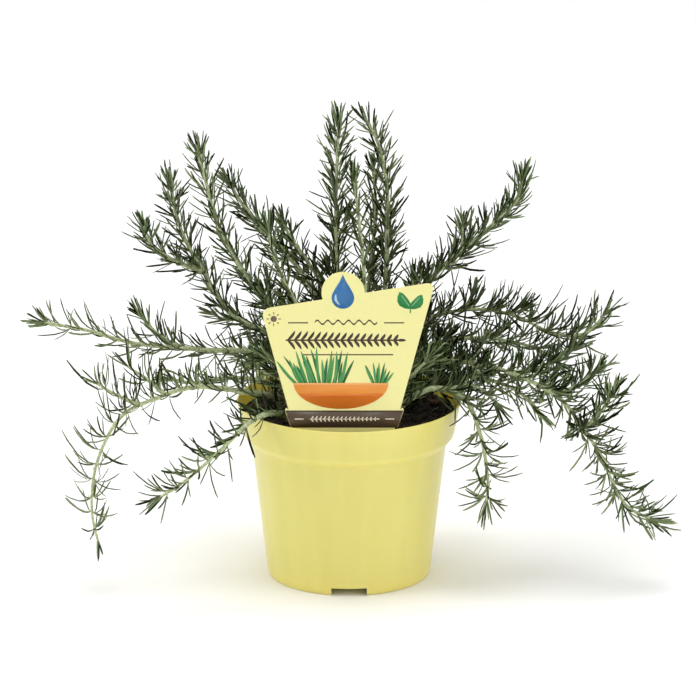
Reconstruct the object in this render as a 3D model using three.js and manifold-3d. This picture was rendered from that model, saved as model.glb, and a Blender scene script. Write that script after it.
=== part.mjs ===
// A trailing rosemary in a thin-walled nursery pot, with a card label standing behind the rim.
// Millimetres, +Z up. The origin is on the floor at the pot's axis, and the label faces -Y.
import * as THREE from "three";
import { mergeVertices } from "three/addons/utils/BufferGeometryUtils.js";
import Module from "manifold-3d";

const wasm = await Module();
wasm.setup();
const { degToRad, lerp, mapLinear } = THREE.MathUtils;

// ---- driving dimensions ----
const FIT_GAP = 0.35; // clearance between pieces that touch
const ROUND_SEGMENTS = 40; // facets round the pot and the soil

const POT_HEIGHT = 104.5;
const RIM_RADIUS = 65; // outside of the lip
const LIP_ROUND = 0.6;
const BAND_BOTTOM_RADIUS = 61; // the band round the rim tapers down to this
const BAND_BOTTOM_Z = 84.8;
const BAND_EDGE = 1.4; // size of the band's softened lower edge
const WALL_TOP_RADIUS = 56.6;
const WALL_TOP_Z = 80.2;
const FOOT_RADIUS = 46.6;
const FOOT_EDGE = 0.8;
const FOOT_RING = 1.8; // width of the ring that the pot stands on
const WALL = 1.1;
const FLOOR_UNDERSIDE = 5.2;
const FLOOR = 1.3;
const FLOOR_CORNER = 1.5;

const NOTCH = { count: 3, width: 20.5, topWidth: 19, height: 4.7, reach: 14 };
const DRAIN = { count: 6, radius: 3.6, onCircle: 29, segments: 10 };

const SOIL_EDGE_Z = 96.5; // where the compost meets the pot
const SOIL_MOUND = 1.6; // how much higher it lies at the crown
const STEM_DEPTH = 9; // how far each stem goes down into the compost

const LABEL = {
  faceY: -52.3, // middle of the card's thickness
  thickness: 0.6,
  axisX: -2.7,
  bottomZ: 99.4,
  // The right-hand outline of the foot, out from the axis and up: a narrow strip, then the wider band,
  // which ends in a small ear where the card goes on a little narrower.
  foot: [[28.8, 99.4], [28.8, 103.5], [30.6, 104.2], [31.4, 106.3], [33.9, 113.8], [33.5, 115], [32.7, 115]],
  neck: [31.8, 114],
  leftCorner: [-50.2, 173.9],
  rightCorner: [48.9, 189.9],
  cornerRadius: 6,
  disc: { x: -3.4, z: 183.6, radius: 12.3 },
  spikeHalf: 11,
  spikeTipZ: 69,
};

const STEM_SIDES = 6;
const STEM_FOOT_RADIUS = 1.9;
const STEM_TIP_RADIUS = 0.9;
const FORK_FOOT_RADIUS = 1.3;
const STEM_STEP = 19; // spacing of the rings along a stem
const LEAF_SIDES = 6;
const LEAF_RADIUS = 6.2; // the dense part of the foliage round a stem
const LEAF_START_RADIUS = 3.6;
const LEAF_END_RADIUS = 1.6;
const LEAF_OPENING = 14; // length over which the foliage widens from the bare stem
const FORK_BARE = 2;
const LEAF_TIP_REACH = 12; // how far the end leaves reach past the stem

// Each shoot's line from its foot in the compost to the stem's tip, as it grew; bare is the leafless length.
const SHOOTS = [
  {
    name: "left_level",
    bare: 36,
    line: [
      [-19, 4], [-28, 4, 113], [-48, 5, 130], [-86, 8, 132], [-126, 12, 135], [-151, 13, 142],
      [-177, 13, 147],
    ],
    forks: [[[-98, 9, 132], [-111, 16, 139], [-120, 20, 148]]],
  },
  {
    name: "left_arch",
    bare: 36,
    line: [
      [-25, -8], [-37, -13, 108], [-60, -20, 115], [-89, -27, 120], [-110, -32, 115], [-129, -34, 106],
      [-140, -35, 90], [-147, -35, 68], [-148, -35, 45], [-145, -35, 30],
    ],
    forks: [
      [[-106, -31, 117], [-116, -28, 125], [-127, -26, 132]],
      [[-121, -33, 111], [-132, -38, 118], [-144, -41, 126]],
    ],
  },
  {
    name: "left_front",
    bare: 62,
    line: [
      [-28, -18], [-37, -30, 104], [-48, -43, 108.5], [-58, -54, 106], [-72, -68, 96], [-86, -79, 86],
      [-98, -88, 79], [-107, -93, 75],
    ],
  },
  {
    name: "left_low",
    bare: 34,
    line: [[-26, 1], [-36, 0, 108], [-52, -1, 116], [-72, -3, 118], [-90, -6, 116], [-103, -8, 119]],
  },
  {
    name: "upper_left",
    bare: 40,
    line: [
      [-13, 10], [-22, 15, 118], [-45, 22, 137], [-62, 22, 145], [-71, 22, 152], [-78, 22, 163],
      [-84, 21, 175], [-92, 20, 189], [-99, 19, 207], [-103, 18, 229],
    ],
    forks: [[[-84, 21, 175], [-95, 15, 181], [-106, 10, 188], [-114, 7, 196], [-118, 5, 205]]],
  },
  {
    name: "upper_left_tall",
    bare: 42,
    line: [
      [-11, -4], [-22, -5, 125], [-40, -5, 153], [-53, -5, 171], [-65, -5, 190], [-76, -5, 214],
      [-83, -5, 241], [-86, -5, 254],
    ],
  },
  {
    name: "upper_left_back",
    bare: 42,
    line: [
      [-7, 18], [-10, 27, 128], [-21, 34, 160], [-35, 36, 180], [-50, 38, 197], [-63, 41, 212],
      [-69, 43, 222],
    ],
  },
  {
    name: "crown_left",
    bare: 42,
    line: [[-7, 5], [-9, 12, 135], [-16, 15, 169], [-26, 15, 186], [-34, 15, 198], [-38, 15, 206]],
  },
  {
    name: "crown_front_left",
    bare: 40,
    line: [[-6, -13], [-15, -19, 130], [-27, -21, 162], [-38, -21, 183], [-44, -21, 202], [-46, -21, 212]],
  },
  { name: "centre_tall", bare: 44, line: [[0, 0], [-5, 1, 135], [-7, 0, 174], [-7.5, 0, 225], [-6, 0, 268]] },
  {
    name: "centre_front",
    bare: 42,
    line: [[3, -9], [8, -14, 135], [9, -14, 177], [6, -14, 213], [3, -14, 240]],
  },
  {
    name: "centre_right_tall",
    bare: 44,
    line: [
      [8, 5], [17, 12, 135], [21, 15, 172], [22, 15, 200], [22, 15, 226], [19, 15, 245], [15, 15, 258],
      [10, 15, 267],
    ],
  },
  {
    name: "centre_right_back",
    bare: 42,
    line: [[5, 14], [9, 28, 130], [12, 38, 168], [15, 38, 200], [15, 38, 220], [14, 38, 233]],
  },
  {
    name: "upper_right",
    bare: 42,
    line: [
      [12, -3], [24, 0, 130], [40, 4, 166], [57, 7, 185], [73, 10, 198], [90, 13, 213], [97, 14, 221],
      [100, 15, 232],
    ],
  },
  {
    name: "right_level",
    bare: 38,
    line: [
      [15, 10], [25, 18, 118], [47, 29, 144], [76, 30, 150], [99, 34, 144], [116, 36, 135], [133, 36, 132],
      [143, 36, 138], [149, 36, 145],
    ],
  },
  {
    name: "right_arch",
    bare: 38,
    line: [
      [19, -7], [32, -7, 115], [53, -8, 129], [76, -12, 129], [99, -17, 123], [122, -22, 111], [135, -25, 94],
      [145, -27, 79], [152, -28, 63], [161, -28, 48], [175.5, -28, 40],
    ],
    forks: [
      [[93, -16, 125], [106, -8, 125], [117, -2, 127], [130, 2, 134]],
      [[112, -20, 117], [125, -16, 115], [134, -12, 118], [141, -10, 124]],
      [[135, -25, 94], [141, -32, 103], [147, -36, 112], [150, -38, 119]],
    ],
  },
  {
    name: "right_middle",
    bare: 38,
    line: [
      [18, 2], [30, 6, 118], [47, 10, 134], [76, 12, 138], [90, 14, 136], [105, 15, 132], [115, 16, 127],
      [122, 17, 120],
    ],
  },
  {
    name: "right_low",
    bare: 32,
    line: [
      [25, 0], [36, 3, 106], [50, 5, 114], [65, 5, 117], [82, 3, 115], [96, 1, 110], [105, 0, 103],
      [110, 0, 97],
    ],
  },
  {
    name: "right_front",
    bare: 34,
    line: [
      [20, -16], [33, -20, 109], [50, -22, 118], [65, -25, 114], [71, -29, 106], [74, -33, 98], [77, -37, 88],
      [79, -40, 75], [80, -41, 65], [79, -42, 56],
    ],
    forks: [[[58, -23, 117], [70, -24, 120], [79, -26, 116], [84, -28, 111]]],
  },
  { name: "inner_left", bare: 30, line: [[-15, -15], [-22, -25, 110], [-34, -33, 128], [-47, -37, 142]] },
  { name: "inner_right", bare: 30, line: [[10, -18], [20, -27, 110], [33, -34, 127], [46, -38, 140]] },
  {
    name: "rear_trailing",
    bare: 34,
    line: [[-1, 24], [-5, 42, 117], [-9, 62, 128], [-11, 82, 118], [-12, 92, 100], [-12, 93, 84]],
  },
  {
    name: "rear_left",
    bare: 38,
    line: [[-14, 20], [-24, 40, 120], [-34, 60, 134], [-42, 76, 137], [-47, 87, 133]],
  },
  {
    name: "rear_right",
    bare: 38,
    line: [[12, 20], [23, 40, 119], [33, 60, 131], [42, 78, 132], [47, 88, 126]],
  },
  {
    name: "rear_low_left",
    bare: 34,
    line: [[-22, 13], [-33, 34, 109], [-45, 52, 116], [-51, 66, 110], [-54, 76, 97], [-55, 81, 80]],
  },
  {
    name: "rear_low_right",
    bare: 34,
    line: [[23, 10], [34, 32, 109], [45, 51, 115], [51, 66, 108], [54, 76, 94], [55, 80, 76]],
  },
];

// Pieces of composted bark that lie on the soil: place, size, turn.
const BARK_CHIPS = [
  { at: [-54, 4], size: [11, 6.5, 3.2], turn: 25 },
  { at: [44, -30], size: [8, 5, 2.6], turn: -40 },
  { at: [-6, 47], size: [9, 5.5, 2.8], turn: 70 },
  { at: [50, 14], size: [7.5, 4.5, 2.6], turn: 10 },
  { at: [-37, -39], size: [7, 4.5, 2.4], turn: 130 },
];

// ---- solids ----
function solid(geometry) {
  const bare = geometry.clone();
  bare.deleteAttribute("normal");
  bare.deleteAttribute("uv");
  const merged = mergeVertices(bare, 1e-4);
  return new wasm.Manifold(
    new wasm.Mesh({
      numProp: 3,
      vertProperties: new Float32Array(merged.attributes.position.array),
      triVerts: new Uint32Array(merged.index.array),
    }),
  );
}

function geometryOf(body) {
  const { vertProperties, triVerts } = body.getMesh();
  const geometry = new THREE.BufferGeometry();
  geometry.setAttribute("position", new THREE.BufferAttribute(vertProperties, 3));
  geometry.setIndex(new THREE.BufferAttribute(triVerts, 1));
  geometry.computeVertexNormals();
  return geometry;
}

const union = (bodies) => bodies.reduce((all, one) => all.add(one));

// A body turned about Z, from a profile of [radius, height] points that runs up the outside from the axis.
function turned(profile) {
  const points = profile.map(([r, z]) => new THREE.Vector2(r, z));
  return solid(new THREE.LatheGeometry(points, ROUND_SEGMENTS).rotateX(Math.PI / 2));
}

const radial = (angle, radius) => [Math.cos(angle) * radius, Math.sin(angle) * radius];
const evenly = (count, first) => Array.from({ length: count }, (_, i) => first + (i * 2 * Math.PI) / count);

// ---- pot ----
const wallRadiusAt = (z) => mapLinear(z, 0, WALL_TOP_Z, FOOT_RADIUS + FOOT_EDGE, WALL_TOP_RADIUS);
const bandRadiusAt = (z) => mapLinear(z, BAND_BOTTOM_Z, POT_HEIGHT, BAND_BOTTOM_RADIUS, RIM_RADIUS);

// The inside surface, from the floor up to the lip.
const FLOOR_TOP = FLOOR_UNDERSIDE + FLOOR;
const BAND_FOOT_INSIDE_Z = BAND_BOTTOM_Z + WALL;
const insideProfile = [
  [wallRadiusAt(FLOOR_TOP) - WALL - FLOOR_CORNER, FLOOR_TOP],
  [wallRadiusAt(FLOOR_TOP + FLOOR_CORNER) - WALL, FLOOR_TOP + FLOOR_CORNER],
  [WALL_TOP_RADIUS - WALL, WALL_TOP_Z + WALL / 2],
  [bandRadiusAt(BAND_FOOT_INSIDE_Z) - WALL, BAND_FOOT_INSIDE_Z],
  [RIM_RADIUS - WALL, POT_HEIGHT - LIP_ROUND],
];

function pot() {
  const shell = turned([
    [0, FLOOR_UNDERSIDE],
    [wallRadiusAt(FLOOR_UNDERSIDE) - FOOT_RING, FLOOR_UNDERSIDE],
    [FOOT_RADIUS - FOOT_RING, 0],
    [FOOT_RADIUS, 0],
    [wallRadiusAt(FOOT_EDGE), FOOT_EDGE],
    [WALL_TOP_RADIUS, WALL_TOP_Z],
    [BAND_BOTTOM_RADIUS - BAND_EDGE, BAND_BOTTOM_Z - BAND_EDGE],
    [bandRadiusAt(BAND_BOTTOM_Z), BAND_BOTTOM_Z],
    [RIM_RADIUS, POT_HEIGHT - LIP_ROUND],
    [RIM_RADIUS - LIP_ROUND / 2, POT_HEIGHT],
    [RIM_RADIUS - WALL + LIP_ROUND / 4, POT_HEIGHT],
    ...insideProfile.toReversed(),
    [0, FLOOR_TOP],
  ]);

  const notch = new THREE.Shape([
    new THREE.Vector2(-NOTCH.width / 2, -1),
    new THREE.Vector2(NOTCH.width / 2, -1),
    new THREE.Vector2(NOTCH.topWidth / 2, NOTCH.height),
    new THREE.Vector2(-NOTCH.topWidth / 2, NOTCH.height),
  ]);
  const notches = evenly(NOTCH.count, -Math.PI / 2).map((angle) => {
    const cut = new THREE.ExtrudeGeometry(notch, { depth: NOTCH.reach, bevelEnabled: false });
    cut.rotateX(Math.PI / 2).rotateZ(angle + Math.PI / 2);
    return solid(cut.translate(...radial(angle, FOOT_RADIUS - NOTCH.reach / 2), 0));
  });

  const drain = () =>
    new THREE.CylinderGeometry(DRAIN.radius, DRAIN.radius, 4 * FLOOR, DRAIN.segments).rotateX(Math.PI / 2);
  const floorMiddle = (FLOOR_UNDERSIDE + FLOOR_TOP) / 2;
  const drains = evenly(DRAIN.count, 0).map((angle) =>
    solid(drain().translate(...radial(angle, DRAIN.onCircle), floorMiddle)),
  );
  return shell.subtract(union([...notches, ...drains, solid(drain().translate(0, 0, floorMiddle))]));
}

// ---- shoots ----
const soilTopAt = (radius) => SOIL_EDGE_Z + SOIL_MOUND * Math.max(0, 1 - radius / RIM_RADIUS);

// The line of a shoot: the foot gets its depth in the compost, and the leaves' reach carries on past the tip.
function shootCurve(points) {
  const fixed = points.map(
    ([x, y, z]) => new THREE.Vector3(x, y, z ?? soilTopAt(Math.hypot(x, y)) - STEM_DEPTH),
  );
  const curve = new THREE.CatmullRomCurve3(fixed, false, "centripetal");
  const length = curve.getLength();
  const tip = curve.getPointAt(1);
  const heading = curve.getTangentAt(1);
  const side = Math.abs(tip.x - fixed[0].x) > Math.abs(tip.y - fixed[0].y) ? [0, 1, 0] : [1, 0, 0];
  return {
    length,
    side: new THREE.Vector3(...side),
    pointAt: (s) =>
      s <= length ? curve.getPointAt(s / length) : tip.clone().addScaledVector(heading, s - length),
    headingAt: (s) => curve.getTangentAt(Math.min(s / length, 1)),
  };
}

// A closed tube whose rings lie at the given distances along a shoot, with a radius for each.
function tube(shoot, stations, radiusAt, sides) {
  const geometry = new THREE.CylinderGeometry(1, 1, 1, sides, stations.length - 1);
  const place = geometry.attributes.position;
  const upward = new THREE.Vector3();
  const across = new THREE.Vector3();
  for (let i = 0; i < place.count; i++) {
    const share = place.getY(i) + 0.5;
    const s = stations[Math.round(share * (stations.length - 1))];
    const heading = shoot.headingAt(s);
    upward.crossVectors(heading, shoot.side).normalize();
    across.crossVectors(upward, heading);
    const radius = radiusAt(s);
    const at = shoot.pointAt(s);
    at.addScaledVector(upward, place.getX(i) * radius);
    at.addScaledVector(across, place.getZ(i) * radius);
    place.setXYZ(i, at.x, at.y, at.z);
  }
  return solid(geometry);
}

const spaced = (from, to, step) => {
  const count = Math.max(2, Math.round((to - from) / step));
  return Array.from({ length: count + 1 }, (_, i) => from + ((to - from) * i) / count);
};

const stemStations = (shoot) => spaced(0, shoot.length, STEM_STEP);

function stemTube(shoot, footRadius, extra) {
  const stations = stemStations(shoot);
  stations[stations.length - 1] += extra * 2;
  const radiusAt = (s) => extra + lerp(footRadius, STEM_TIP_RADIUS, Math.min(s / shoot.length, 1));
  return tube(shoot, stations, radiusAt, STEM_SIDES);
}

function leafTube(shoot, bare) {
  const end = shoot.length + LEAF_TIP_REACH;
  const widest = bare + LEAF_OPENING;
  const radiusAt = (s) => {
    if (s < widest) return mapLinear(s, bare, widest, LEAF_START_RADIUS, LEAF_RADIUS);
    if (s < shoot.length) return LEAF_RADIUS;
    return mapLinear(s, shoot.length, end, LEAF_RADIUS, LEAF_END_RADIUS);
  };
  const stations = [bare, ...spaced(widest, shoot.length - LEAF_RADIUS, STEM_STEP), shoot.length, end];
  return tube(shoot, stations, radiusAt, LEAF_SIDES);
}

// A fork springs from the ring of the main stem that lies nearest to where its line begins.
function forkCurve(main, [start, ...rest]) {
  const wanted = new THREE.Vector3(...start);
  const rings = stemStations(main).map(main.pointAt);
  const nearest = rings.reduce((a, b) => (b.distanceTo(wanted) < a.distanceTo(wanted) ? b : a));
  return shootCurve([nearest.toArray(), ...rest]);
}

// The stem with its forks is one piece of wood; the leaves clasp it all the way to the tips.
function growShoot({ bare, line, forks = [] }) {
  const main = shootCurve(line);
  const sides = forks.map((fork) => forkCurve(main, fork));
  const wood = (extra) => {
    const forkWood = sides.map((fork) => stemTube(fork, FORK_FOOT_RADIUS, extra));
    return union([stemTube(main, STEM_FOOT_RADIUS, extra), ...forkWood]);
  };
  const foliage = union([leafTube(main, bare), ...sides.map((fork) => leafTube(fork, FORK_BARE))]);
  return { stem: wood(0), socket: wood(FIT_GAP), leaves: foliage.subtract(wood(FIT_GAP)) };
}

// ---- label ----
function labelCard(grow = 0) {
  const { axisX, bottomZ, neck, cornerRadius, disc, spikeHalf, spikeTipZ } = LABEL;
  const left = new THREE.Vector2(...LABEL.leftCorner);
  const right = new THREE.Vector2(...LABEL.rightCorner);
  const leftNeck = new THREE.Vector2(axisX - neck[0], neck[1]);
  const rightNeck = new THREE.Vector2(axisX + neck[0], neck[1]);
  const towards = (from, to, distance) => from.clone().add(to.clone().sub(from).setLength(distance));
  const topSlope = right.clone().sub(left).angle();
  const topHeightAt = (x) => left.y + (x - left.x) * Math.tan(topSlope);
  // The bump is part of a disc, which stands above the slanting top edge on a chord.
  const drop = (topHeightAt(disc.x) - disc.z) * Math.cos(topSlope);
  const halfTurn = Math.acos(drop / disc.radius);
  const square = topSlope + Math.PI / 2;

  const card = new THREE.Shape();
  card.moveTo(leftNeck.x, leftNeck.y);
  LABEL.foot.toReversed().forEach(([half, z]) => card.lineTo(axisX - half, z));
  card.lineTo(axisX - spikeHalf - grow, bottomZ - grow);
  card.lineTo(axisX, spikeTipZ - 4 * grow);
  card.lineTo(axisX + spikeHalf + grow, bottomZ - grow);
  LABEL.foot.forEach(([half, z]) => card.lineTo(axisX + half, z));
  card.lineTo(rightNeck.x, rightNeck.y);
  const rightLow = towards(right, rightNeck, cornerRadius);
  const rightTop = towards(right, left, cornerRadius);
  card.lineTo(rightLow.x, rightLow.y);
  card.quadraticCurveTo(right.x, right.y, rightTop.x, rightTop.y);
  card.absarc(disc.x, disc.z, disc.radius, square - halfTurn, square + halfTurn, false);
  const leftTop = towards(left, right, cornerRadius);
  const leftLow = towards(left, leftNeck, cornerRadius);
  card.lineTo(leftTop.x, leftTop.y);
  card.quadraticCurveTo(left.x, left.y, leftLow.x, leftLow.y);
  card.closePath();

  const thickness = LABEL.thickness + 2 * grow;
  const plate = new THREE.ExtrudeGeometry(card, { depth: thickness, bevelEnabled: false, curveSegments: 8 });
  return solid(plate.rotateX(Math.PI / 2).translate(0, LABEL.faceY + thickness / 2, 0));
}

// ---- soil and bark ----
function soil(sockets) {
  const side = insideProfile.map(([r, z]) => [r - FIT_GAP, z]);
  const [, , , bandFoot, bandHead] = side;
  const edge = mapLinear(SOIL_EDGE_Z, bandFoot[1], bandHead[1], bandFoot[0], bandHead[0]);
  const bottom = FLOOR_TOP + FIT_GAP;
  const plug = turned([
    [0, bottom],
    [side[0][0], bottom],
    ...side.slice(1, 4),
    [edge, SOIL_EDGE_Z],
    [0, SOIL_EDGE_Z + SOIL_MOUND],
  ]);
  return plug.subtract(union([...sockets, labelCard(FIT_GAP)]));
}

function barkChip({ at, size, turn }) {
  const chip = new THREE.DodecahedronGeometry(0.5, 0).scale(...size);
  chip.rotateZ(degToRad(turn));
  const innerEdge = Math.hypot(...at) - size[0] / 2;
  return solid(chip.translate(...at, soilTopAt(innerEdge) + FIT_GAP + size[2] / 2));
}

// ---- assembly ----
const FINISHES = {
  pot: { color: 0xe6d980, roughness: 0.38, metalness: 0 },
  soil: { color: 0x2a2019, roughness: 0.95, metalness: 0 },
  bark: { color: 0x6b4428, roughness: 0.85, metalness: 0 },
  label: { color: 0xf1eb9e, roughness: 0.45, metalness: 0 },
  stem: { color: 0x9aa37a, roughness: 0.7, metalness: 0 },
  leaves: { color: 0x4d5f45, roughness: 0.55, metalness: 0 },
};

const plant = new THREE.Group();

function addPiece(name, body, finish) {
  const mesh = new THREE.Mesh(geometryOf(body), new THREE.MeshStandardMaterial(finish));
  mesh.name = name;
  plant.add(mesh);
}

const grown = SHOOTS.map((shoot) => ({ name: shoot.name, ...growShoot(shoot) }));

addPiece("pot", pot(), FINISHES.pot);
addPiece("potting_soil", soil(grown.map((shoot) => shoot.socket)), FINISHES.soil);
addPiece("plant_label", labelCard(), FINISHES.label);
BARK_CHIPS.forEach((chip, i) => addPiece("bark_chip_" + (i + 1), barkChip(chip), FINISHES.bark));
for (const { name, stem, leaves } of grown) {
  addPiece("stem_" + name, stem, FINISHES.stem);
  addPiece("leaves_" + name, leaves, FINISHES.leaves);
}

export default plant;
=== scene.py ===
"""A trailing rosemary in a pale yellow nursery pot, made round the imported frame, in metres."""

import math
import random

import bpy
import numpy as np
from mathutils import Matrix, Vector


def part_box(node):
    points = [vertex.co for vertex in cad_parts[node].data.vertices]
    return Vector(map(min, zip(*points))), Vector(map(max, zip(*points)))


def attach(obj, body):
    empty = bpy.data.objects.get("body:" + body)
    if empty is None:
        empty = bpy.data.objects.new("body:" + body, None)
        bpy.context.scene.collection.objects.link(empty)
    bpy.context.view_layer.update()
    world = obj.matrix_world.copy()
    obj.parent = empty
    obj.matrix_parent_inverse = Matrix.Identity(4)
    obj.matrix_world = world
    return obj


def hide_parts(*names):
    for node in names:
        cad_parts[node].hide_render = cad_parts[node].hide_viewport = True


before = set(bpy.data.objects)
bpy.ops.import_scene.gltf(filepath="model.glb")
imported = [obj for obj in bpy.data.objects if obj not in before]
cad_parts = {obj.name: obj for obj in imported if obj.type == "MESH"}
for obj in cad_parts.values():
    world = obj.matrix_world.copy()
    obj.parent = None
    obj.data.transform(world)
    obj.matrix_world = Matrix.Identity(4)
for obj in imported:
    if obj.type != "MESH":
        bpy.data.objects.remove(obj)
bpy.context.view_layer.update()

# ---- camera ----
CAMERA_TARGET = Vector((-0.0006, 0.0, 0.1354))
CAMERA_ELEVATION = math.radians(16.5)
CAMERA_DISTANCE = 3.5
CAMERA_LENS = 313.3

# ---- where things are ----
POT_LOW, POT_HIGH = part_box("pot")
SOIL_LOW, SOIL_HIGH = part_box("potting_soil")
LABEL_LOW, LABEL_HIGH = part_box("plant_label")
RIM_RADIUS = (POT_HIGH.x - POT_LOW.x) / 2
RIM_Z = POT_HIGH.z
SOIL_TOP = SOIL_HIGH.z
SOIL_RADIUS = (SOIL_HIGH.x - SOIL_LOW.x) / 2

# ---- how a shoot grows ----
STEM_DEPTH = 0.009  # how far a stem goes down into the compost
PATH_STEP = 0.001  # spacing of the points along a stem's line

# How the leaves and the wood of a shoot grow:
# pitch   distance between leaf pairs
# leaf    length of the leaves of a pair, and width their width
# tuft    number of small leaves in each axil
# spread  angle in degrees between leaf and stem
# lift    how strongly leaves bend upwards
# curl    how much the bend of a leaf differs from its neighbours'
# bud     number of leaves at the very tip
# twigs   number of short side shoots
# foot    radius of the stem at its foot, and tip at its tip
# brown   share of the stem's length that has turned woody
DENSE = {"pitch": 0.0054, "leaf": 0.0186, "width": 0.0014, "tuft": 4, "spread": 48, "lift": 0.30,
         "curl": 0.20, "bud": 12, "twigs": 2, "foot": 0.0018, "tip": 0.0008, "brown": 0.3}
LEVEL = {**DENSE, "pitch": 0.0064, "leaf": 0.0190, "spread": 55, "lift": 0.75, "curl": 0.32, "bud": 9,
         "twigs": 3}
TANGLED = {**LEVEL, "leaf": 0.0195, "width": 0.0015, "spread": 62, "lift": 0.85, "curl": 0.5, "twigs": 4}
TRAILING = {**DENSE, "pitch": 0.0094, "leaf": 0.0176, "width": 0.0013, "tuft": 3, "spread": 80, "lift": 1.9,
            "curl": 0.25, "bud": 3, "twigs": 0, "tip": 0.0006, "brown": 0.2}
OVER_RIM = {**DENSE, "pitch": 0.0080, "leaf": 0.0205, "width": 0.0016, "tuft": 3, "spread": 56, "lift": 0.80,
            "curl": 0.3, "bud": 7, "twigs": 0, "foot": 0.0021, "brown": 0.12}
TWIG = {**DENSE, "pitch": 0.0052, "leaf": 0.0160, "tuft": 2, "spread": 46, "lift": 0.40, "curl": 0.3,
        "bud": 8, "foot": 0.0008, "tip": 0.0005, "brown": 0.0}
FORK_FOOT_RADIUS = 0.0013
FORK_BARE = 0.004  # leafless length at the foot of a fork
TWIG_BARE = 0.003
SPIRAL_TURN = 2.4  # radians from one leaf to the next round a tuft or a bud

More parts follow.
